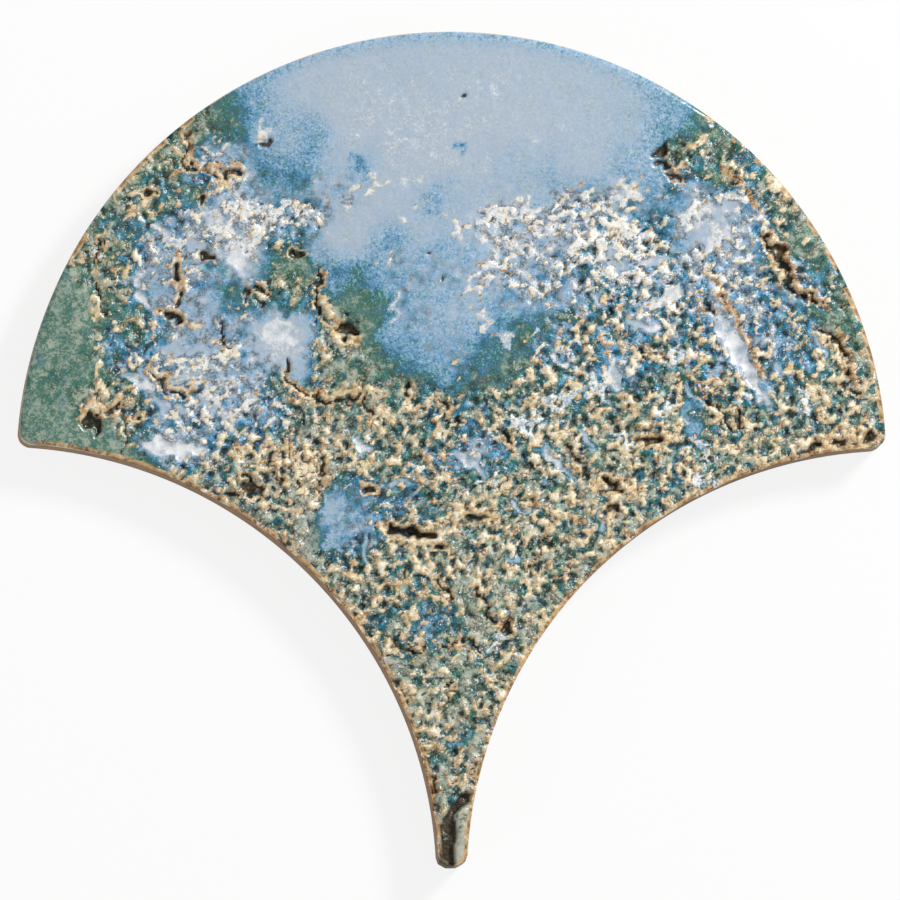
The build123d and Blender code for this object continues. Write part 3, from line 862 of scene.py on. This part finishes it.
class Glaze(Finish):
    """Thick glaze runs green, blue or white; its crumbs break tan, and the hollows between are dark,
    partly from the glaze's own colour and partly from painted shade.
    """

    def __init__(self, name):
        super().__init__(name)
        self.speck = self.noise(0.3, 1, 0.5)
        self.grit = self.noise(0.62, 2, 0.6)
        self.mottle = self.noise(1.6, 3, 0.6)
        self.blotch = self.noise(2.5, 4, 0.6)
        self.rough = self.attribute("rough")
        still = 1 - self.rough
        self.green = self.attribute("green")
        thick_here = self.attribute("thick").ramp(0.7, 0.84)
        self.lively = 1 + still * (0.3 + self.green * 0.5 - thick_here * 1.05)

    def glaze_colour(self):
        """The colour of the glaze by its thickness, and darker in the hollows between crumbs, partly as
        the glaze's own colour and partly as painted shade.
        """
        grain_here = (self.speck * 0.03 + self.grit * 0.035 + self.mottle * 0.014) * self.lively
        thick = self.attribute("thick") + grain_here
        colour = self.mixed(self.green, self.colours(thick, BLUE), self.colours(thick, GREEN))
        pure = {"Color": colour, "Saturation": 1 + self.rough * 0.3}
        colour = self.node("ShaderNodeHueSaturation", None, pure)
        # The hollows between crumbs: partly the glaze's own colour, partly painted shade
        hollow = self.mixed(self.green, rgb(BLUE_HOLLOW), rgb(GREEN_HOLLOW))
        deep = self.attribute("deep") + (self.speck * 0.04 + self.grit * 0.08) * self.rough
        return self.mixed(deep.ramp(0.1, 0.75) * 0.85, colour, hollow)

    def with_crumbs(self, colour):
        """Adds the tan crumbs with painted shade at their feet, the freckles and the painted glints."""
        tone = self.attribute("tone") + self.noise(0.45, 2, 0.6) * 0.09
        over = self.attribute("crumb") + self.speck * 0.1 + self.grit * 0.17
        # Painted shade in a thin ring at the foot of each crumb
        rim = over.ramp(-0.6, -0.35) * (1 - over.ramp(-0.2, 0.05))
        rim = rim * self.mottle.ramp(-0.7, 0.5) * self.rough.ramp(0.12, 0.3)
        colour = self.mixed(rim * 0.7, colour, rgb(CRUMB_FOOT_SHADE))
        colour = self.mixed(over.ramp(-0.15, 0.25) * 0.92, colour, self.colours(tone, TAN))
        freckle = self.noise(0.62, 2, 0.5).ramp(1.05, 1.45) * self.rough.ramp(0.1, 0.5)
        colour = self.mixed(freckle * 0.5, colour, rgb(FRECKLE))
        # Painted highlights: pale glints on the crumpled field
        painted_glint = self.noise(0.8, 3, 0.6).ramp(0.7, 1.2) * self.rough.ramp(0.3, 0.7)
        return self.mixed(painted_glint * 0.75, colour, rgb(PAINTED_GLINT))

    def crevices(self):
        """Thin winding gaps between the crumbs, sunk by the bump and darkened with painted shade."""
        sockets = {"Vector": self.places, "Scale": 1 / (1.4 * MM)}
        wander = self.node("ShaderNodeTexNoise", None, sockets, "Color")
        offset = self.node("ShaderNodeVectorMath", {"operation": "SCALE"}, {0: wander, "Scale": 2.6 * MM})
        warped = self.node("ShaderNodeVectorMath", {"operation": "ADD"}, {0: self.places, 1: offset})
        sockets = {"Vector": warped, "Scale": 1 / (2.0 * MM)}
        crackle = self.node("ShaderNodeTexVoronoi", {"feature": "DISTANCE_TO_EDGE"}, sockets)
        torn_here = self.noise(2.4, 2, 0.5).ramp(-0.2, 0.8) * self.rough.ramp(0.45, 0.85)
        return (1 - crackle.ramp(0.02, 0.14)) * torn_here

    def with_shade(self, colour, crevice):
        """Paints shade into the crevices, cracks and pits, and paints the crumpled field lighter as a
        whole to offset the shade of its relief.
        """
        # Painted shade in the crevices, then in the hollows, creases, cracks and pits
        colour = self.mixed(crevice * 0.6, colour, rgb(CREVICE_SHADE))
        shade = (self.attribute("shade") + self.speck * 0.05 + self.grit * 0.04).ramp(0.25, 0.95)
        colour = self.mixed(shade * 0.92, colour, rgb(SHADE))
        pit_floor = self.colours(0.5 + self.grit * 0.22 + self.mottle * 0.2, PIT_FLOOR)
        colour = self.mixed(self.attribute("hole") * 0.75, colour, pit_floor)
        bright = 1 + (self.speck * 0.06 + self.grit * 0.06) * (0.2 + self.lively * 0.8)
        # Painted light: the crumpled field is made lighter to offset the shade of its own relief
        bright = bright * (1 + self.rough * 0.19)
        return self.node("ShaderNodeHueSaturation", None, {"Color": colour, "Value": bright})

    def bare(self):
        """1 on the walls below the glaze's lower rim and 0 above it."""
        height = self.node("ShaderNodeSeparateXYZ", None, {"Vector": self.places}, "Z") * (1 / MM)
        above = height - (THICKNESS - FACE_ARRIS) + self.attribute("drip") + self.grit * 0.05
        return (1 - above.ramp(-0.35, 0.15)) * self.attribute("wall")

    def with_clay(self, colour, bare):
        """Adds the bare clay, the thin brown edge of the glaze above it and the torn clay of the tail."""
        streak = self.noise(0.8, 3, 0.6, (0.7, 0.7, 1.5))
        clay = self.colours(0.5 + streak * 0.09 + self.blotch * 0.07 + self.speck * 0.08, CLAY)
        edge = (bare + self.speck * 0.03).ramp(0.0, 0.2)
        colour = self.mixed(edge * 0.85, colour, rgb(THIN_EDGE))
        colour = self.mixed(bare.ramp(0.5, 1.0), colour, clay)
        torn = self.colours(0.5 + self.grit * 0.2 + self.blotch * 0.12, TORN_CLAY)
        return self.mixed(self.attribute("flake"), colour, torn)


def glaze_finish():
    """The tile's own material, from the glaze down to the bare clay."""
    finish = Glaze("glazed_stoneware")
    crevice = finish.crevices()
    bare = finish.bare()
    colour = finish.with_crumbs(finish.glaze_colour())
    colour = finish.with_clay(finish.with_shade(colour, crevice), bare)
    grain_height = finish.speck * finish.rough * 0.12 + finish.grit * (0.02 + finish.rough * 0.12)
    bump_height = grain_height + finish.mottle * 0.05 - crevice * 0.6
    sockets = {"Strength": 0.6, "Distance": 0.25 * MM, "Height": bump_height}
    bump = finish.node("ShaderNodeBump", None, sockets, "Normal")
    finish.set(Base_Color=colour, Roughness=0.27 + bare * 0.5, Normal=bump, Specular_IOR_Level=0.5)
    return finish.material


def add_stage():
    """A plain white floor that keeps the tile's shadow."""
    bm = bmesh.new()
    bmesh.ops.create_grid(bm, x_segments=1, y_segments=1, size=FLOOR_REACH)
    mesh = bpy.data.meshes.new("floor")
    bm.to_mesh(mesh)
    bm.free()
    floor = bpy.data.objects.new("floor", mesh)
    bpy.context.scene.collection.objects.link(floor)
    finish = Finish("floor_white")
    finish.set(Base_Color=(FLOOR_WHITE, FLOOR_WHITE, FLOOR_WHITE, 1), Roughness=1.0, Specular_IOR_Level=0)
    kinds = ("Camera", "Glossy", "Transmission")
    rays = [finish.node("ShaderNodeLightPath", output=f"Is {kind} Ray") for kind in kinds]
    seen = rays[0] + rays[1] + rays[2]
    glow = finish.node("ShaderNodeEmission", None, {"Color": (1, 1, 1, 1), "Strength": 1.0})
    shader = Value(finish, finish.shader.outputs["BSDF"])
    both = finish.node("ShaderNodeMixShader", None, {0: seen * FLOOR_GLOW, 1: shader, 2: glow})
    finish.tree.links.new(both.socket, finish.tree.nodes["Material Output"].inputs["Surface"])
    mesh.materials.append(finish.material)


def add_lights():
    """Plain studio light: an even white surround, a soft lamp from the upper right and a weak fill."""
    world = bpy.data.worlds.new("studio")
    bpy.context.scene.world = world
    world.use_nodes = True
    background = world.node_tree.nodes["Background"]
    background.inputs["Color"].default_value = (1, 1, 1, 1)
    background.inputs["Strength"].default_value = SURROUND
    # Name, width, power, direction, and whether the glaze mirrors it
    lamps = [
        ("softbox", 0.3, 14.2, (0.62, 0.56, 0.72), True),
        ("fill", 0.5, 3.0, (-0.75, -0.55, 0.32), False),
    ]
    for name, size, energy, towards, mirrored in lamps:
        lamp = bpy.data.lights.new(name, "AREA")
        lamp.shape = "DISK"
        lamp.size = size
        lamp.energy = energy
        place = bpy.data.objects.new(name, lamp)
        direction = Vector(towards).normalized()
        place.location = direction * LAMP_DISTANCE
        place.rotation_euler = direction.to_track_quat("Z", "Y").to_euler()
        place.visible_glossy = mirrored
        bpy.context.scene.collection.objects.link(place)


def add_camera():
    """Looks down on the tile through a long lens, a little from the tail's side and from the left."""
    camera = bpy.data.cameras.new("camera")
    camera.sensor_width = SENSOR_WIDTH
    camera.lens = SENSOR_WIDTH * CAMERA_DISTANCE / (FRAME_PIXELS * MM_PER_PIXEL * MM)
    holder = bpy.data.objects.new("camera", camera)
    tilt = math.radians(CAMERA_TILT)
    azimuth = math.radians(CAMERA_AZIMUTH)
    level = math.cos(tilt)
    away = Vector((level * math.sin(azimuth), -level * math.cos(azimuth), math.sin(tilt)))
    right = Vector((0, 1, 0)).cross(away).normalized()
    turn = Matrix((right, away.cross(right), away)).transposed()
    target = Vector((*to_mm(VIEW_PIXEL), THICKNESS)) * MM
    holder.location = target + away * CAMERA_DISTANCE
    holder.rotation_euler = turn.to_euler()
    bpy.context.scene.collection.objects.link(holder)
    bpy.context.scene.camera = holder


tile = build_tile()
tile.data.materials.append(glaze_finish())
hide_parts("tile")
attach(tile, "root")
add_stage()
add_lights()
add_camera()
bpy.context.scene.view_settings.view_transform = "Standard"
